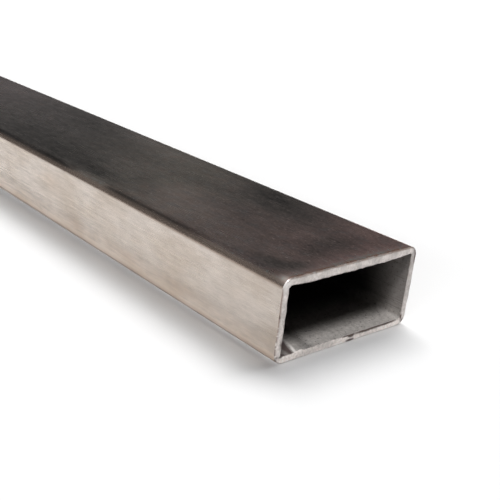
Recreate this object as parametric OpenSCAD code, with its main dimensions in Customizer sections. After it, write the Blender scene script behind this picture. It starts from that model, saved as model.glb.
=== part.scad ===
// Rectangular stainless steel tube, one length of stock between two saw cuts.
// Strip is rolled to a box and welded along one seam, and the bead stands on the inside.
// X runs along the tube, Y across its wide faces and Z up. It lies on z = 0, its underside.
// The origin is the middle of the underside. All sizes are millimetres.

/* [Section] */
// Outside width, between the two narrow faces
section_w = 50; // [40:5:80]
// Outside height, between the two wide faces
section_h = 25; // [20:5:40]
// Thickness of the wall
wall = 2; // [1.5:0.5:3]
// Radius on the inside of each rolled corner
bend_r = 1; // [0.5:0.25:2]

/* [Length] */
// Length from one saw cut to the other
cut_length = 1000; // [250:50:6000]
// Width of the edge break round the outer rim of each cut
rim_break = 0.4; // [0.2:0.1:0.8]

/* [Weld] */
// Distance from the narrow face at -Y to the middle of the weld bead
seam_inset = 9; // [7:1:20]
// Width of the bead where it meets the wall
bead_w = 3; // [2:0.5:5]
// Height of the bead above the inside of the wall
bead_h = 0.4; // [0.2:0.1:0.8]

/* [Hidden] */
$fn = 96;

// The wall keeps its thickness round a bend, so the outside radius follows from the inside one.
outer_r = bend_r + wall;

// The bead is a segment of this circle, with bead_w as its chord and bead_h as its height.
bead_r = (bead_w * bead_w / 4 + bead_h * bead_h) / (2 * bead_h);
seam_y = seam_inset - section_w / 2;

// How far a cutting shape runs past the face that it cuts.
overrun = 5;

// The four places, as signs of Y and Z, at which a rectangle w by h has its corner centres.
CORNERS = [[-1, -1], [1, -1], [1, 1], [-1, 1]];

// A solid bar along X with its ends chamfered on two edges: span across, depth through.
module chamfered_plate(span, depth) {
    x = cut_length / 2;
    y = span / 2;
    linear_extrude(height = depth, center = true)
        polygon([
            [-x, rim_break - y], [rim_break - x, -y], [x - rim_break, -y], [x, rim_break - y],
            [x, y - rim_break], [x - rim_break, y], [rim_break - x, y], [-x, y - rim_break]
        ]);
}

// One rolled corner as a full round rod along X, with its two ends chamfered like the plates.
module corner_rod() {
    x = cut_length / 2;
    rotate([0, 90, 0])
        rotate_extrude()
            polygon([
                [0, -x], [outer_r - rim_break, -x], [outer_r, rim_break - x],
                [outer_r, x - rim_break], [outer_r - rim_break, x], [0, x]
            ]);
}

// The outside of the tube as a solid: two crossed plates that meet in the four corner rods.
module envelope() {
    chamfered_plate(section_w, section_h - 2 * outer_r);
    rotate([90, 0, 0])
        chamfered_plate(section_h, section_w - 2 * outer_r);
    for (c = CORNERS)
        translate([0, c[0] * (section_w / 2 - outer_r), c[1] * (section_h / 2 - outer_r)])
            corner_rod();
}

// A rectangle centred on the origin, w by h, with true round corners.
module rounded_rectangle(w, h, r) {
    square([w - 2 * r, h], center = true);
    square([w, h - 2 * r], center = true);
    for (c = CORNERS)
        translate([c[0] * (w / 2 - r), c[1] * (h / 2 - r)])
            circle(r);
}

// The weld bead's outline on the inside of the lower wall, rooted in the wall.
module bead_profile() {
    inside_z = wall - section_h / 2;
    intersection() {
        translate([seam_y, inside_z + bead_h - bead_r])
            circle(bead_r);
        translate([seam_y - bead_w, inside_z - wall / 2])
            square([2 * bead_w, wall / 2 + bead_h]);
    }
}

// The bore's outline: a rounded rectangle with the bead left standing in it.
module bore_profile() {
    difference() {
        rounded_rectangle(section_w - 2 * wall, section_h - 2 * wall, bend_r);
        bead_profile();
    }
}

module tube() {
    color([0.66, 0.63, 0.59])
        translate([0, 0, section_h / 2])
            difference() {
                envelope();
                rotate([90, 0, 90])
                    linear_extrude(height = cut_length + 2 * overrun, center = true)
                        bore_profile();
            }
}

tube();
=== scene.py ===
"""A length of rectangular stainless steel tube, lying on a wide face on a pale studio floor."""

import math

import bpy
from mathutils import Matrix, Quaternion, Vector


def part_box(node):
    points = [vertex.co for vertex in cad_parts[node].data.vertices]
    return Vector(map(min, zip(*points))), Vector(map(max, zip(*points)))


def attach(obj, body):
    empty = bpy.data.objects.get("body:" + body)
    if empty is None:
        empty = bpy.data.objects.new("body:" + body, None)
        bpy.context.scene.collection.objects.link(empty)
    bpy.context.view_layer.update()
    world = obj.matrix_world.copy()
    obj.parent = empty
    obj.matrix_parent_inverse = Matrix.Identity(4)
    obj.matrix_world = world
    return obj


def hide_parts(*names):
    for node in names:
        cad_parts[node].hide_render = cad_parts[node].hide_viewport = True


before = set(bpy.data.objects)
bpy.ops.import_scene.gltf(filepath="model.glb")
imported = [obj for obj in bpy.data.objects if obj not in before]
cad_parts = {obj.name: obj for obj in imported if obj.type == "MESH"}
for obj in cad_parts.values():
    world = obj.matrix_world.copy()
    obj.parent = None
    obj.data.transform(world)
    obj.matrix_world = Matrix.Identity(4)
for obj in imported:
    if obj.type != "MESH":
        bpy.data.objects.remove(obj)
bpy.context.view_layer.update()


# Camera
# It stands off the near corner of the sawn end, a little above the tube, and looks back along it.
# Its place is given from the middle of that end, and its lens suits a sensor 36 mm wide.
tube_low, tube_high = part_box("tube")
cut_centre = Vector((tube_high.x, 0.0, (tube_low.z + tube_high.z) / 2))
camera_offset = Vector((0.1490, -0.1617, 0.0969))
camera_heading = math.radians(140.05)
camera_pitch = math.radians(-20.86)
camera_roll = math.radians(3.83)
camera_data = bpy.data.cameras.new("camera")
camera_data.sensor_width = 36.0
camera_data.lens = 63.48
camera_data.clip_start = 0.01
camera = bpy.data.objects.new("camera", camera_data)
bpy.context.scene.collection.objects.link(camera)
bpy.context.scene.camera = camera
line_of_sight = Vector((
    math.cos(camera_pitch) * math.cos(camera_heading),
    math.cos(camera_pitch) * math.sin(camera_heading),
    math.sin(camera_pitch),
))
camera.location = cut_centre + camera_offset
camera.rotation_mode = "QUATERNION"
camera.rotation_quaternion = line_of_sight.to_track_quat("-Z", "Y") @ Quaternion((0, 0, 1), camera_roll)


# Tube
# Stainless strip, rolled to a box and welded along the lower wall, where the bead stands inside.
# One piece, sawn off at both ends with the visible cut a little out of square, the rims lightly
# broken and a burr left inside.
MM = 0.001


class Wire:
    """A socket of a node tree. Arithmetic on it adds Math nodes, and add() adds any other node."""

    def __init__(self, tree, socket=None):
        self.tree = tree
        self.socket = socket

    def add(self, kind, settings=None, values=None, output=0):
        """Adds a node, applies its settings, feeds its inputs and gives one of its outputs. The stops of
        a ramp are among its settings, each with its place and its colour."""
        node = self.tree.nodes.new(kind)
        for name, value in (settings or {}).items():
            if name == "stops":
                for stop in value[2:]:
                    node.color_ramp.elements.new(stop[0])
                for element, (place, colour) in zip(node.color_ramp.elements, value):
                    element.position = place
                    element.color = (*colour, 1.0)
            else:
                setattr(node, name, value)
        for name, value in (values or {}).items():
            if isinstance(value, Wire):
                self.tree.links.new(value.socket, node.inputs[name])
            else:
                node.inputs[name].default_value = value
        return Wire(self.tree, node.outputs[output])

    def math(self, operation, *terms):
        return self.add("ShaderNodeMath", {"operation": operation}, dict(enumerate(terms)))

    def __add__(self, other):
        return self.math("ADD", self, other)

    def __radd__(self, other):
        return self.math("ADD", other, self)

    def __sub__(self, other):
        return self.math("SUBTRACT", self, other)

    def __rsub__(self, other):
        return self.math("SUBTRACT", other, self)

    def __mul__(self, other):
        return self.math("MULTIPLY", self, other)

    def __rmul__(self, other):
        return self.math("MULTIPLY", other, self)

    def __truediv__(self, other):
        return self.math("DIVIDE", self, other)

    def __rtruediv__(self, other):
        return self.math("DIVIDE", other, self)

    def __pow__(self, other):
        return self.math("POWER", self, other)

    def __rpow__(self, other):
        return self.math("POWER", other, self)

    def __lt__(self, other):
        return self.math("LESS_THAN", self, other)

    def __gt__(self, other):
        return self.math("GREATER_THAN", self, other)

    def __abs__(self):
        return self.math("ABSOLUTE", self)

    def at_least(self, other):
        return self.math("MAXIMUM", self, other)

    def at_most(self, other):
        return self.math("MINIMUM", self, other)

    def share(self, low=0.0, high=1.0):
        """How far the value is on its way from low to high, from 0 to 1."""
        return ((self - low) / (high - low)).at_least(0.0).at_most(1.0)

    def fading(self):
        """From 1 where the value is 0 down towards 0 as it grows."""
        return 2.718 ** (0 - self)

    def axis(self, letter):
        """One of the three numbers of a vector."""
        return self.add("ShaderNodeSeparateXYZ", values={0: self}, output=letter)


def tube_tree():
    """The tube's shape: a grid wrapped round the section one way and round its wall the other."""
    tree = bpy.data.node_groups.new("tube_shape", "GeometryNodeTree")
    sizes = {
        "NodeSocketFloat": (
            "Width", "Height", "Length", "Wall", "Bend radius", "Rim break", "Bead place", "Bead width",
            "Bead height", "Bow", "Burr", "Lip", "Saw wander", "Saw lean", "Seed",
        ),
        "NodeSocketInt": ("Cells around", "Cells along", "Cells through"),
        "NodeSocketMaterial": ("Mill skin", "Sawn face", "Bore skin"),
    }
    for kind, names in sizes.items():
        for name in names:
            tree.interface.new_socket(name, in_out="INPUT", socket_type=kind)
    tree.interface.new_socket("Tube", in_out="OUTPUT", socket_type="NodeSocketGeometry")
    start = Wire(tree)
    group = tree.nodes.new("NodeGroupInput")

    def size(name):
        return Wire(tree, group.outputs[name])

    def noise(vector, scale, detail, seed):
        """Noise at a place in millimetres, finer with a larger scale."""
        values = {"Vector": vector, "W": seed, "Scale": scale, "Detail": detail}
        return start.add("ShaderNodeTexNoise", {"noise_dimensions": "4D"}, values)

    wall = size("Wall")
    bend = size("Bend radius")
    along = size("Cells along")
    through = size("Cells through")
    half_loop = 2 * along + through
    grid_values = {
        "Size X": 1.0,
        "Size Y": 1.0,
        "Vertices X": size("Cells around") + 1,
        "Vertices Y": 2 * half_loop + 1,
    }
    grid = start.add("GeometryNodeMeshGrid", values=grid_values)
    place = start.add("GeometryNodeInputPosition")
    turn = place.axis("X") + 0.5
    trip = place.axis("Y") + 0.5

    # Round the wall: out along the outer skin to a cut, through the rim, and back along the bore. The
    # cells crowd towards the cuts.
    crowding = 2.2
    end_sign = 1 - 2 * (trip > 0.5)
    step = start.math("PINGPONG", trip * 2 * half_loop, half_loop)
    depth_share = ((step - along) / through).share()
    reach = (step.at_most(half_loop - step) / along).share()
    reach = 1 - (1 - reach) ** crowding

    # Round the section: a quarter of it, from the middle of a narrow face, mirrored three times.
    flat_y = size("Width") / 2 - bend
    flat_z = size("Height") / 2 - bend
    middle_radius = bend - wall / 2
    arc = middle_radius * (math.pi / 2)
    quarter = flat_y + arc + flat_z
    walk = start.math("PINGPONG", turn * 4 * quarter, quarter)
    angle = ((walk - flat_z) / arc).share() * (math.pi / 2)
    sign_y = 1 - 2 * (abs(turn - 0.5) < 0.25)
    sign_z = 1 - 2 * (turn > 0.5)
    normal_y = sign_y * start.math("COSINE", angle)
    normal_z = sign_z * start.math("SINE", angle)
    core_y = sign_y * (flat_y - (walk - flat_z - arc).at_least(0.0))
    core_z = sign_z * walk.at_most(flat_z)
    skin_y = core_y + bend * normal_y
    skin_z = core_z + bend * normal_z

    # The saw wanders a little. The rim is broken unevenly, and less along the lower wall.
    ring_values = {"X": end_sign, "Y": skin_y / MM, "Z": skin_z / MM}
    ring_place = start.add("ShaderNodeCombineXYZ", values=ring_values)
    wander = noise(ring_place, 0.12, 3.0, size("Seed")) - 0.5
    chatter = noise(ring_place, 1.1, 3.0, size("Seed") + 3) - 0.5
    rim_break = size("Rim break") * (0.1 + 1.7 * noise(ring_place, 0.35, 4.0, size("Seed") + 11))
    rim_break = rim_break * (1 + 0.35 * normal_z.at_most(0.0))
    depth = wall * depth_share
    inner_break = 0.1 * wall
    lost = (rim_break - depth).at_least(0.0) + (inner_break - wall + depth).at_least(0.0)
    lean = size("Saw lean") * (skin_z / size("Height") - 0.5) * (end_sign > 0)
    cut = size("Length") / 2 - lost + lean + size("Saw wander") * (2 * wander + 0.8 * chatter - 0.5)
    along_x = end_sign * cut * reach
    from_cut = cut * (1 - reach)

    # The bead lies on the lower wall. The saw drags the metal over the inner edge as a ragged burr, which
    # is small on the lower wall and hangs down as a lip under the upper wall of the visible cut.
    bead_place = (core_y - size("Bead place")) / (size("Bead width") / 2)
    bead = (1 - bead_place * bead_place).at_least(0.0) * (normal_z < -0.99)
    bead_ripple = noise(start.add("ShaderNodeCombineXYZ", values={"X": along_x / MM}), 0.5, 2.0, 1.0)
    bead = bead * size("Bead height") * (0.7 + 0.6 * bead_ripple)
    rag = noise(ring_place, 0.55, 5.0, size("Seed") + 7)
    lip = (1 - (abs(core_y) / flat_y) ** 4) * (normal_z > 0.99) * (end_sign > 0)
    burr = size("Burr") * ((rag - 0.42).at_least(0.0) * 3) * (1 - 0.6 * (normal_z < -0.5))
    burr = (burr + size("Lip") * lip) * (from_cut / MM * 1.6).fading() * depth_share ** 4
    bow_values = {"X": along_x / MM, "Y": skin_y / MM, "Z": skin_z / MM}
    bow_place = start.add("ShaderNodeCombineXYZ", values=bow_values)
    bow = size("Bow") * noise(bow_place, 0.012, 1.5, size("Seed") + 17)
    inward = depth + bead * depth_share + burr + bow
    spot_values = {
        "X": along_x,
        "Y": skin_y - inward * normal_y,
        "Z": skin_z - inward * normal_z + size("Height") / 2,
    }
    spot = start.add("ShaderNodeCombineXYZ", values=spot_values)

    # The share of the wall that is passed is kept on the mesh, and tells the three skins apart.
    stored = start.add(
        "GeometryNodeStoreNamedAttribute",
        {"data_type": "FLOAT", "domain": "POINT"},
        {"Geometry": grid, "Name": "through", "Value": depth_share},
    )
    shaped = start.add("GeometryNodeSetPosition", values={"Geometry": stored, "Position": spot})
    closed = start.add("GeometryNodeMergeByDistance", values={"Geometry": shaped, "Distance": 0.002 * MM})
    smooth = start.add("GeometryNodeSetShadeSmooth", values={"Geometry": closed})
    layer = start.add("GeometryNodeInputNamedAttribute", {"data_type": "FLOAT"}, {"Name": "through"})
    real = start.add("GeometryNodeRealizeInstances", values={"Geometry": smooth})
    skinned = start.add("GeometryNodeSetMaterial", values={"Geometry": real, "Material": size("Mill skin")})
    sawn_values = {"Geometry": skinned, "Selection": layer > 0.01, "Material": size("Sawn face")}
    sawn = start.add("GeometryNodeSetMaterial", values=sawn_values)
    bored_values = {"Geometry": sawn, "Selection": layer > 0.99, "Material": size("Bore skin")}
    bored = start.add("GeometryNodeSetMaterial", values=bored_values)
    result = tree.nodes.new("NodeGroupOutput")
    tree.links.new(bored.socket, result.inputs["Tube"])
    return tree


def skin_places(wire):
    """The Object coordinates, and from them the distance from the visible cut, the place across from
    the middle and the height, all in millimetres."""
    spot = wire.add("ShaderNodeTexCoord", output="Object")
    return spot, (tube_high.x - spot.axis("X")) / MM, spot.axis("Y") / MM, spot.axis("Z") / MM


def to_nearest_cut(from_cut):
    """The distance to the nearer of the two cuts, in millimetres."""
    return from_cut.at_most((tube_high.x - tube_low.x) / MM - from_cut)


def streaks(wire, spot, length, width, detail=3.0, roughness=0.55):
    """Noise drawn out along the tube, with marks of about this length and width in millimetres."""
    scale = (1 / (length * MM), 1 / (width * MM), 1 / (width * MM))
    stretched = wire.add("ShaderNodeMapping", values={"Vector": spot, "Scale": scale})
    values = {"Vector": stretched, "Scale": 1.0, "Detail": detail, "Roughness": roughness}
    return wire.add("ShaderNodeTexNoise", values=values)


def marks(first, second, places):
    """Soft oval marks. Each has its two places, its two half sizes in millimetres and its strength."""
    total = 0.0
    for first_place, second_place, first_half, second_half, strength in places:
        away = ((first - first_place) / first_half) ** 2 + ((second - second_place) / second_half) ** 2
        total = strength * away.fading() + total
    return total


def mixed(wire, share, first, second):
    """The first colour where the share is 0 and the second where it is 1."""
    share_input, first_input, second_input, colour_output = 0, 6, 7, 2
    values = {share_input: share}
    for place, colour in ((first_input, first), (second_input, second)):
        values[place] = colour if isinstance(colour, Wire) else (*colour, 1.0)
    return wire.add("ShaderNodeMix", {"data_type": "RGBA"}, values, colour_output)


def dimmed(wire, colour, factor):
    """A colour times a number."""
    return wire.add("ShaderNodeVectorMath", {"operation": "SCALE"}, {0: colour, "Scale": factor})


def new_steel(name, **constants):
    """A metal material, its shader and a wire to build on."""
    material = bpy.data.materials.new(name)
    material.use_nodes = True
    shader = material.node_tree.nodes["Principled BSDF"]
    shader.inputs["Metallic"].default_value = 1.0
    for socket, value in constants.items():
        shader.inputs[socket].default_value = value
    return material, shader, Wire(material.node_tree)


def feed(wire, shader, **sockets):
    """Links wires to the shader's sockets, whose names have a space for each underscore."""
    for socket, value in sockets.items():
        wire.tree.links.new(value.socket, shader.inputs[socket.replace("_", " ")])


def narrow_side_colour(wire, from_cut, height, fine, grain, mottle, blotches):
    """The narrow sides are the clean ones, with faint warm blotches, and dull near the cut."""
    colour = mixed(wire, blotches.share(0.42, 0.66), (0.588, 0.523, 0.47), (0.523, 0.448, 0.383))
    graining = 0.7 + 0.9 * from_cut.share(60.0, 160.0)
    tone = 1 + graining * (0.42 * (grain - 0.5) + 0.65 * (fine - 0.5)) + 0.45 * (mottle - 0.5)
    # Painted highlight: lighter towards the bottom and in a band at the foot of the lower bend, where the
    # side mirrors the shadowed floor.
    tone = tone * (1 + 0.2 * (1 - height.share(2.0, 14.0)) + 0.5 * (1 - height.share(2.5, 8.0)))
    highlight_foot = 2.2 + 0.8 * from_cut.share(30.0, 90.0)
    tone = tone * (1 + 0.22 * (1 - abs(height - highlight_foot).share(0.5, 1.3)))
    tone = tone * (0.88 + 0.12 * from_cut.share(2.0, 45.0))
    colour = dimmed(wire, colour, tone.at_most(1.65))
    browned = (
        (108, 6.0, 5, 2.6, 0.26), (126, 16.5, 6, 2.6, 0.16),
        (73, 5.5, 6, 2.4, 0.22), (45, 6.2, 7, 2.2, 0.12),
    )
    brown = marks(from_cut, height, browned)
    colour = mixed(wire, brown * (0.5 + mottle), colour, (0.46, 0.30, 0.19))

    # A thin brown line runs along the lower bend, a painted dark reflection of the shadowed floor, and a
    # painted highlight makes it bright below it.
    above_line = height - 1.3 - 0.006 * from_cut.at_most(170.0)
    colour = mixed(wire, (1 - abs(above_line).share(0.1, 0.4)) * 0.5, colour, (0.36, 0.28, 0.23))
    return mixed(wire, 1 - above_line.share(-0.7, -0.3), colour, (0.95, 0.93, 0.92))


def wide_face_colour(wire, spot, from_cut, across, fine, grain, mottle, blotches, clouds):
    """The wide faces have lain in racks and carry oil, dust and heat tints, maroon near the cut."""
    tinted_length = 250
    tints = (
        (0.0, (0.54, 0.44, 0.42)), (0.18, (0.53, 0.435, 0.41)), (0.25, (0.56, 0.475, 0.435)),
        (0.36, (0.53, 0.485, 0.43)), (0.50, (0.53, 0.48, 0.44)), (0.68, (0.46, 0.412, 0.422)),
        (0.92, (0.485, 0.422, 0.435)),
    )
    shifted = (from_cut + 70 * (clouds - 0.5)) / tinted_length
    colour = wire.add("ShaderNodeValToRGB", {"stops": tints}, {"Fac": shifted})
    maroon = 1 - (from_cut - 0.5 * across.at_least(0.0)).share(4.0, 50.0)
    maroon = maroon * (across + 24).share(0.0, 20.0).at_least(0.5 * (1 - from_cut.share(4.0, 8.0)))
    colour = mixed(wire, maroon * 0.9, colour, (0.60, 0.40, 0.38))
    hues = streaks(wire, spot, 5.0, 3.5, 4.0, 0.6)
    colour = mixed(wire, hues.share(0.52, 0.68) * 0.45, colour, (0.58, 0.43, 0.37))
    colour = mixed(wire, (1 - hues).share(0.52, 0.68) * 0.45, colour, (0.46, 0.46, 0.47))

    # Stains and rubs, by their places from the cut and across from the middle.
    stains = (
        (11, -19.5, 6, 2.6, 0.46), (6, -15.5, 3, 3.6, 0.50), (13, 3, 6.5, 8, 0.38), (10, -6, 4, 3.5, 0.22),
        (48, 14, 16, 8.5, 0.56), (30, 10, 9, 7, 0.18), (104, -18, 14, 4, 0.58), (128, -16, 19, 10, 0.46),
        (92, -9, 10, 4, 0.22), (168, -5, 46, 40, 0.44), (165, -17, 26, 8, 0.22), (200, -6, 16, 6, 0.16),
        (75, 22, 30, 3, 0.26), (78, 6, 8, 3.5, 0.20), (62, 7, 9, 5, 0.14), (205, 20, 16, 5, 0.24),
        (60, 19, 16, 5, 0.28), (165, 14, 16, 14, 0.10), (118, -10, 10, 4, 0.15),
    )
    rubs = (
        (61, -17, 17, 9, 0.40), (73, -7, 11, 7, 0.54), (112, 18, 22, 6, 0.36), (1, 2, 6, 40, 0.50),
        (101, -23, 13, 1.2, 0.40), (225, 14, 32, 12, 0.12), (17, 19, 8, 4, 0.28), (22, 2, 5, 6, 0.20),
        (0, 6, 2.3, 26, 1.10), (1, -20, 2, 4, 0.45), (140, 21, 14, 4, 0.26),
        (222, 20, 20, 5, 0.20), (55, -8, 8, 4, 0.22),
    )
    dark = marks(from_cut, across, stains)
    light = marks(from_cut, across, rubs)
    colour = mixed(wire, dark.share(0.05, 0.5) * 0.5, colour, (0.50, 0.475, 0.45))

    # Near the cut the grain is weak and the specks are strong, and farther on it is the other way.
    specks = streaks(wire, spot, 0.9, 0.6, 1.0)
    scratches = streaks(wire, spot, 12.0, 0.12, 1.0).share(0.66, 0.76) * blotches.share(0.45, 0.6)
    farther = from_cut.share(20.0, 60.0)
    mottling = 0.9 + 0.7 * from_cut.share(130.0, 200.0)
    tone = 1 + 0.8 * (clouds - 0.5) + mottling * (mottle - 0.5) + (0.3 + 0.2 * farther) * (grain - 0.5)
    tone = tone + (0.4 + 0.6 * farther) * (fine - 0.5) + (0.9 - 0.3 * farther) * (specks - 0.5)
    tone = tone + 0.35 * scratches * farther
    return dimmed(wire, colour, (tone - dark + light) * (1 + 0.6 * specks.share(0.68, 0.78)))


def upper_bend_colour(wire, colour, from_cut, across, height, upper, rub_and_highlight):
    """Each upper bend is brown along its foot as a painted reflection, paler where it is worn, and palest
    at the near corner as a painted highlight.
    """
    # The brown gradient along the foot of the bend is a painted reflection.
    bend = (height - 0.4 * from_cut.share(50.0, 110.0)).share(22.0, 22.7)
    bend = (abs(across) - 23.5).share(0.0, 0.9) * bend
    bend_reflection_tint = mixed(wire, height.share(22.8, 23.5), (0.34, 0.265, 0.22), (0.66, 0.535, 0.46))
    colour = mixed(wire, bend * 0.9, colour, bend_reflection_tint)
    worn_place = 101
    from_worn = abs(from_cut - worn_place)
    wear_and_highlight = (1 - from_cut.share(24.0, 45.0)).at_least(1 - from_worn.share(8.0, 18.0))
    wear_and_highlight = wear_and_highlight * (abs(across) - 22.4).share(0.0, 0.9) * upper
    colour = dimmed(wire, colour, 1 + 0.7 * wear_and_highlight)
    # Paler at the near upper corner, a painted highlight.
    colour = mixed(wire, rub_and_highlight * 0.9, colour, (0.90, 0.80, 0.74))

    # A thin dark line, a painted reflection, runs along the crown, apart from the worn places.
    crown = 23.7
    wider = 0.4 * from_cut.share(115.0, 150.0)
    dark_reflection_line = 1 - ((abs(abs(across) + wider - crown) - wider) / 0.5).share(0.2, 1.2)
    dark_reflection_line = dark_reflection_line * upper * from_cut.share(35.0, 50.0) * from_worn.share(8.0, 15.0)
    return dimmed(wire, colour, 1 - (0.45 - 0.5 * wider) * dark_reflection_line)


def mill_skin_steel():
    """The rolled outside: a warm grey with a grain along the tube, darker and stained on top."""
    material, shader, wire = new_steel("mill_skin")
    spot, from_cut, across, height = skin_places(wire)
    fine = streaks(wire, spot, 7.0, 0.16, 2.0)
    grain = streaks(wire, spot, 18.0, 0.7)
    mottle = streaks(wire, spot, 4.5, 2.0, 5.0, 0.65)
    blotches = streaks(wire, spot, 22.0, 9.0, 3.0)
    clouds = streaks(wire, spot, 48.0, 22.0, 4.0, 0.6)
    upper = (height - 23.0).share(0.0, 1.2)
    # The near upper corner is rougher, and paler as a painted highlight.
    rub_and_highlight = marks(from_cut, across, ((0, -23.5, 4, 2, 1.0),)) * upper
    side = narrow_side_colour(wire, from_cut, height, fine, grain, mottle, blotches)
    top = wide_face_colour(wire, spot, from_cut, across, fine, grain, mottle, blotches, clouds)
    colour = mixed(wire, upper, side, top)
    colour = upper_bend_colour(wire, colour, from_cut, across, height, upper, rub_and_highlight)

    # Sawing browned the skin along the cuts, but not at the near corner.
    heat = 1 - to_nearest_cut(from_cut).share(0.7, 1.8)
    heat = heat * upper * streaks(wire, spot, 2.0, 2.0).share(0.38, 0.52)
    heat = heat * (across + 23.5).share(0.0, 2.0)
    colour = mixed(wire, heat * 0.9, colour, (0.95, 0.56, 0.43))

    # The lower bends are duller than the flats, and so is the worn place at the near upper corner.
    roughness = 0.26 + 0.10 * (clouds - 0.5) + 0.10 * (grain - 0.5)
    roughness = roughness + 0.22 * (1 - height.share(2.5, 9.0)) + 0.25 * (1 - height.share(1.5, 3.2))
    roughness = roughness + 0.3 * rub_and_highlight
    relief = fine * 0.6 + grain * 0.4
    bump = wire.add("ShaderNodeBump", values={"Strength": 0.12, "Distance": 0.05 * MM, "Height": relief})
    feed(wire, shader, Base_Color=colour, Roughness=roughness, Normal=bump)
    return material


def sawn_steel():
    """The bare metal of a cut: bright, coarse, brown with scale at its edges and dragged by the saw."""
    material, shader, wire = new_steel("sawn_face", Metallic=0.6)
    spot, from_cut, across, height = skin_places(wire)
    mottle_values = {"Vector": spot, "Scale": 1 / (0.8 * MM), "Detail": 5.0, "Roughness": 0.65}
    mottle = wire.add("ShaderNodeTexNoise", values=mottle_values)
    drag = wire.add("ShaderNodeMapping", values={"Vector": spot, "Scale": (1500.0, 160.0, 2600.0)})
    drag = wire.add("ShaderNodeTexNoise", values={"Vector": drag, "Scale": 1.0, "Detail": 2.0})
    through = wire.add("ShaderNodeAttribute", {"attribute_name": "through"}, output="Fac")
    colour = mixed(wire, mottle.share(0.35, 0.65), (0.68, 0.635, 0.61), (0.50, 0.46, 0.435))
    colour = dimmed(wire, colour, 0.88 + 0.30 * streaks(wire, spot, 3.5, 3.5, 2.0).share(0.35, 0.65))
    # Lighter towards the bottom, a painted highlight where the cut mirrors the shadowed floor.
    colour = dimmed(wire, colour, 1 + 0.5 * (1 - height.share(0.0, 10.0)))

    # Scale is orange along the upper edge, brown and broken down the near wall and along the bore. The far
    # wall is darker, a painted shade.
    outer = 1 - through.share(0.04, 0.24)
    patches = streaks(wire, spot, 1.4, 1.4)
    upper = (height - 22.0).share(0.0, 1.0)
    fringe = outer * upper * patches.share(0.36, 0.5) * (across + 23.5).share(0.0, 2.0)
    colour = mixed(wire, fringe * 0.7, colour, (0.46, 0.30, 0.23))
    thick = 0.1 * height.share(11.0, 13.0)
    edge = outer * (1 - upper) * (across < 0.0) * (patches + thick).share(0.40, 0.48)
    colour = mixed(wire, edge * (0.8 + thick), colour, (0.19, 0.125, 0.10))
    colour = dimmed(wire, colour, 1 - 0.25 * (across - 22.4).share(0.0, 0.6))
    inner = through.share(0.9, 1.0) * patches.share(0.46, 0.58)
    colour = mixed(wire, inner * 0.5, colour, (0.22, 0.17, 0.15))

    # Dark burrs and gouges of the visible cut, by their places across from the middle and their heights.
    # The marks at the far wall's outer edge, past 24 mm across, are painted shade.
    burrs_and_edge_shade = (
        (-23.3, 5.8, 0.6, 1.6, 0.6), (-24.4, 2.4, 0.5, 0.4, 0.7), (-22.8, 2.3, 0.8, 0.4, 0.8),
        (-24.9, 14.3, 0.3, 0.6, 0.8), (-23.1, 11.6, 0.35, 0.8, 0.7), (0.6, 2.2, 1.5, 0.4, 0.9),
        (3.0, 1.9, 1.0, 0.6, 1.2), (2.6, 0.5, 1.5, 0.35, 1.3), (8.8, 2.0, 3.9, 0.5, 1.2),
        (17.0, 2.0, 4.4, 0.45, 1.1), (23.1, 2.7, 0.35, 0.9, 0.9), (24.1, 1.0, 0.8, 0.9, 1.1),
        (24.7, 22.0, 0.7, 2.4, 1.1), (24.2, 23.9, 0.6, 0.7, 1.2), (24.9, 12.0, 0.45, 6.0, 0.8),
    )
    dark = marks(across, height, burrs_and_edge_shade)
    dark = (dark * (0.4 + 1.2 * patches)).share(0.12, 0.7) * (from_cut < 50.0)
    colour = mixed(wire, dark * 0.92, colour, (0.085, 0.055, 0.045))

    # A painted highlight brightens the near upper corner, and the foot of the rim is pale but rough, a
    # painted highlight against the shadowed floor it mirrors.
    wear_and_highlight = marks(across, height, ((-24.2, 23.4, 1.4, 1.6, 1.0),))
    colour = mixed(wire, wear_and_highlight * 0.5, colour, (0.92, 0.90, 0.88))
    highlight_foot = 1 - height.share(0.35, 1.1)
    colour = mixed(wire, outer * highlight_foot * (1 - dark), colour, (0.96, 0.93, 0.90))
    roughness = 0.55 - 0.27 * outer * (1 - highlight_foot) * (1 - wear_and_highlight)
    relief = mottle + 0.5 * drag
    bump = wire.add("ShaderNodeBump", values={"Strength": 0.5, "Distance": 0.12 * MM, "Height": relief})
    feed(wire, shader, Base_Color=colour, Roughness=roughness, Normal=bump)
    return material


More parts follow.
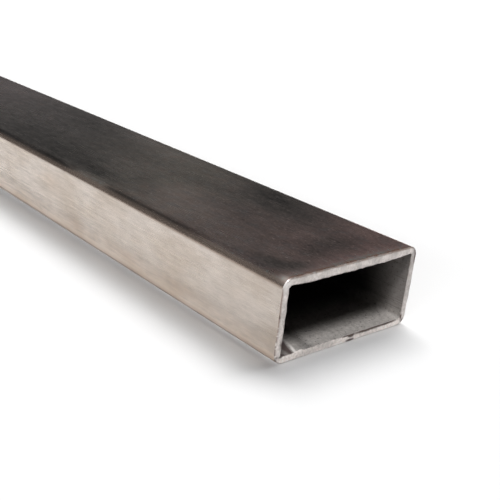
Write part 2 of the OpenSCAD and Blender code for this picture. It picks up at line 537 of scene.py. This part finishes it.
def bore_steel():
    """The inside: dull scale, paler on the lower wall than on the others, painted darker farther in as
    shade, with a painted shadow on one side of the weld bead and a dark band on the other.
    """
    material, shader, wire = new_steel("bore_skin", Roughness=0.5, Metallic=0.35)
    spot, from_cut, across, height = skin_places(wire)
    grain = streaks(wire, spot, 16.0, 0.5)
    lines = streaks(wire, spot, 26.0, 0.6, 2.0)
    mottle = streaks(wire, spot, 1.3, 1.1, 5.0, 0.7)
    specks = streaks(wire, spot, 0.7, 0.6, 1.0)
    colour = mixed(wire, mottle.share(0.35, 0.65), (0.55, 0.52, 0.495), (0.37, 0.345, 0.325))
    colour = dimmed(wire, colour, 1.06 + 0.15 * (grain - 0.5))
    colour = dimmed(wire, colour, 1 - 0.6 * specks.share(0.64, 0.72))
    # The walls are darker and streaked, and the bore is painted darker upwards as shade.
    walls = height.share(2.5, 6.0)
    colour = mixed(wire, walls * 0.5, colour, (0.30, 0.265, 0.25))
    colour = dimmed(wire, colour, 1 - 0.45 * walls * lines.share(0.56, 0.68))
    colour = dimmed(wire, colour, 1 - 0.3 * height.share(2.5, 20.0))

    # The painted shadow in the corner by the near wall, the painted highlight at the start of the bead and
    # the dark band beside it run inwards at a slant.
    inside = to_nearest_cut(from_cut)
    low = 1 - height.share(3.0, 4.0)
    tilted = across - 0.3 * inside
    corner_shadow = (1 - tilted.share(-19.3, -18.5)) * low
    corner_shadow = corner_shadow * (0.5 + 0.7 * abs(across + 20.2).share(0.3, 1.8))
    colour = mixed(wire, corner_shadow.at_most(0.92), colour, (0.10, 0.07, 0.065))
    bead = (1 - abs(tilted + 18.05).share(0.15, 0.55)) * low * (1 - inside.share(3.0, 7.0))
    colour = mixed(wire, bead * 0.9, colour, (0.98, 0.93, 0.90))
    band = (1 - abs(across + 12.9 - 0.14 * inside).share(0.2, 2.6)) * low
    colour = dimmed(wire, colour, 1 - 0.45 * band)

    # Painted shade: the bore gets black farther in, and sooner on the walls than on the floor of the bore.
    colour = dimmed(wire, colour, 0.08 + 0.92 * (1 - inside.share(6.0, 27.0)) ** 1.5)
    colour = dimmed(wire, colour, 1 - 0.85 * walls * inside.share(5.0, 17.0))
    relief = mottle + 0.4 * grain
    bump = wire.add("ShaderNodeBump", values={"Strength": 0.4, "Distance": 0.12 * MM, "Height": relief})
    feed(wire, shader, Base_Color=colour, Normal=bump)
    return material


shape = tube_tree()
tube = bpy.data.objects.new("rectangular_tube", bpy.data.meshes.new("rectangular_tube"))
bpy.context.scene.collection.objects.link(tube)
modifier = tube.modifiers.new("shape", "NODES")
modifier.node_group = shape
tube_sizes = {
    "Width": tube_high.y - tube_low.y,
    "Height": tube_high.z - tube_low.z,
    "Length": tube_high.x - tube_low.x,
    "Wall": 2.0 * MM,
    "Bend radius": 3.0 * MM,
    "Rim break": 0.4 * MM,
    "Bead place": -16.0 * MM,
    "Bead width": 3.0 * MM,
    "Bead height": 0.4 * MM,
    "Bow": 0.05 * MM,
    "Burr": 0.3 * MM,
    "Lip": 0.5 * MM,
    "Saw wander": 0.15 * MM,
    "Saw lean": 1.5 * MM,
    "Seed": 4.0,
    "Cells around": 432,
    "Cells along": 50,
    "Cells through": 10,
    "Mill skin": mill_skin_steel(),
    "Sawn face": sawn_steel(),
    "Bore skin": bore_steel(),
}
for item in shape.interface.items_tree:
    if item.in_out == "INPUT":
        modifier[item.identifier] = tube_sizes[item.name]
graph = bpy.context.evaluated_depsgraph_get()
plain_mesh = bpy.data.meshes.new_from_object(tube.evaluated_get(graph))
tube.modifiers.remove(modifier)
plain_mesh.materials.pop(index=0)  # the empty slot that the grid brings
tube.data = plain_mesh
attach(tube, "root")
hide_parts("tube")


# Floor
# A plain pale studio floor, level with the underside of the tube. It glows where the lights have
# fallen off, and more the farther out, so that it stays evenly bright to the horizon.
floor_span = 30.0
light_reach = 2.9
enough_light = 0.87
floor_glow = 0.92
bpy.ops.mesh.primitive_plane_add(size=floor_span, location=(0.0, 0.0, tube_low.z))
floor = bpy.context.object
floor.name = "floor"
floor_material = bpy.data.materials.new("floor")
floor_material.use_nodes = True
floor_shader = floor_material.node_tree.nodes["Principled BSDF"]
floor_shader.inputs["Base Color"].default_value = (0.86, 0.86, 0.86, 1.0)
floor_shader.inputs["Roughness"].default_value = 1.0
floor_shader.inputs["Specular IOR Level"].default_value = 0.0
floor_shader.inputs["Emission Strength"].default_value = 1.0
floor_wire = Wire(floor_material.node_tree)
floor_spot = floor_wire.add("ShaderNodeTexCoord", output="Object")
length = {"operation": "LENGTH"}
from_middle = floor_wire.add("ShaderNodeVectorMath", length, {0: floor_spot}, output="Value")
lit = 1 / (1 + (from_middle / light_reach) ** 2) ** 2
unlit = (enough_light - lit).share(0.0, enough_light)
glow = mixed(floor_wire, unlit, (0.0, 0.0, 0.0), (floor_glow, floor_glow, floor_glow))
feed(floor_wire, floor_shader, Emission_Color=glow)
floor.data.materials.append(floor_material)


# Light
# Two long soft lights light the floor, one high behind the tube and one low in front of it, and the
# steel mirrors that floor. The front one is a touch cool. A small one lights the tube alone, from the
# side of the sawn end.
def soft_light(name, place, aim, length, width, power, receivers):
    """A flat light, its sizes in metres and its power in watts, that lights one collection only."""
    data = bpy.data.lights.new(name, "AREA")
    data.shape = "RECTANGLE"
    data.size = length
    data.size_y = width
    data.energy = power
    light = bpy.data.objects.new(name, data)
    bpy.context.scene.collection.objects.link(light)
    light.location = place
    light.rotation_mode = "QUATERNION"
    light.rotation_quaternion = (Vector(aim) - Vector(place)).to_track_quat("-Z", "Y")
    light.light_linking.receiver_collection = receivers
    return light


floor_only = bpy.data.collections.new("floor_only")
floor_only.objects.link(floor)
tube_only = bpy.data.collections.new("tube_only")
tube_only.objects.link(tube)
lit_middle = (0.4, 0.0, 0.0)
soft_light("back", (-0.22, 1.16, 2.70), lit_middle, 3.0, 1.5, 116.0, floor_only)
front = soft_light("front", (1.81, -2.44, 1.03), lit_middle, 3.0, 0.5, 52.0, floor_only)
front.data.color = (0.985, 1.0, 1.025)
soft_light("facing", (0.88, -0.34, 0.99), cut_centre, 0.3, 0.3, 11.5, tube_only)

# The room is dim for the steel, darkest overhead, and pale where the camera sees it past the floor.
world = bpy.data.worlds.new("studio")
world.use_nodes = True
bpy.context.scene.world = world
sky = Wire(world.node_tree)
upward = sky.add("ShaderNodeTexCoord", output="Generated").axis("Z")
room = (
    (0.0, (0.42, 0.40, 0.38)), (0.07, (0.20, 0.19, 0.185)), (0.14, (0.13, 0.125, 0.12)),
    (0.58, (0.10, 0.098, 0.098)), (0.72, (0.038, 0.035, 0.034)),
)
room_tone = sky.add("ShaderNodeValToRGB", {"stops": room}, {"Fac": upward})
seen = sky.add("ShaderNodeLightPath", output="Is Camera Ray")
tone = mixed(sky, seen, room_tone, (0.95, 0.95, 0.95))
background = world.node_tree.nodes["Background"]
world.node_tree.links.new(tone.socket, background.inputs["Color"])
bpy.context.scene.view_settings.view_transform = "Standard"
